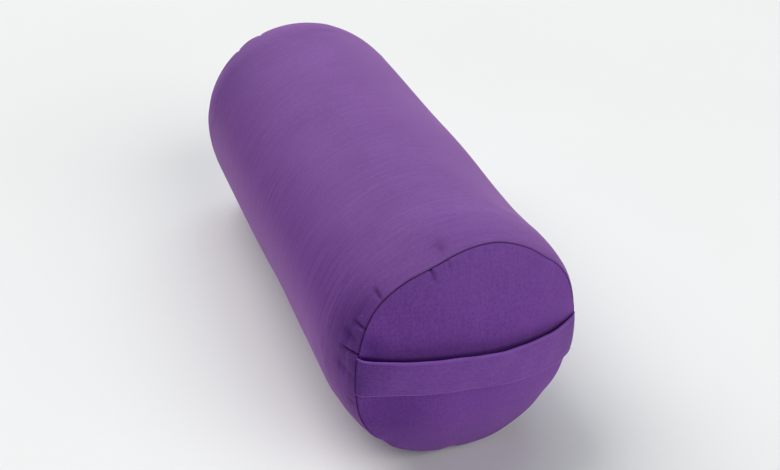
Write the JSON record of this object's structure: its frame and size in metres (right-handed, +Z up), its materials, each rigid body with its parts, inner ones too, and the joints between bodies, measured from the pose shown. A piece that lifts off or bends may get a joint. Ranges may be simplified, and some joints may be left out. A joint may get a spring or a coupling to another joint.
{
  "type": "yoga bolster",
  "caption": "Round yoga bolster on its side: zipped cotton cover with crowned ends and a carry strap, over a lined core of rolled batting.",
  "frame": {"origin": "the middle of the flat patch that the bolster rests on, at floor level under the middle of the barrel", "axes": "+Z up; +Y along the bolster's axis, from the carry-strap end at -Y to the plain end; the zip runs along the +X side"},
  "size_m": [0.2567, 0.6229, 0.247],
  "materials": {
    "cover_twill": "matte",
    "end_twill": "matte",
    "strap_twill": "matte",
    "zip_tape": "matte",
    "zip_nylon": "satin",
    "zip_metal": "satin",
    "liner_muslin": "matte",
    "cotton_batting": "matte"
  },
  "bodies": {
    "bolster": {"cover_body": "cover_twill", "cover_end_front": "end_twill", "cover_end_rear": "end_twill", "carry_strap": "strap_twill", "zip_tape_upper": "zip_tape", "zip_tape_lower": "zip_tape", "zip_coil_upper": "zip_nylon", "zip_coil_lower": "zip_nylon", "zip_top_stop_upper": "zip_metal", "zip_top_stop_lower": "zip_metal", "zip_bottom_stop": "zip_metal", "liner_body": "liner_muslin", "liner_end_front": "liner_muslin", "liner_end_rear": "liner_muslin", "batting_wrap": "cotton_batting", "batting_roll": "cotton_batting", "end_pad_front": "cotton_batting", "end_pad_rear": "cotton_batting"},
    "slider": {"zip_slider": "zip_metal"},
    "pull": {"zip_pull": "zip_metal"}
  },
  "joints": [
    {"name": "zip_slide", "type": "slide", "parent": "bolster", "child": "slider", "axis": [0, -1, 0], "range_m": [0, 0.423], "deforming": ["zip_coil_upper", "zip_coil_lower"]},
    {"name": "pull_swing", "type": "hinge", "parent": "slider", "child": "pull", "pos_m": [0.12766, 0.212, 0.14022], "axis": [-0.1564, 0, 0.9877], "range_deg": [0, 180]}
  ]
}
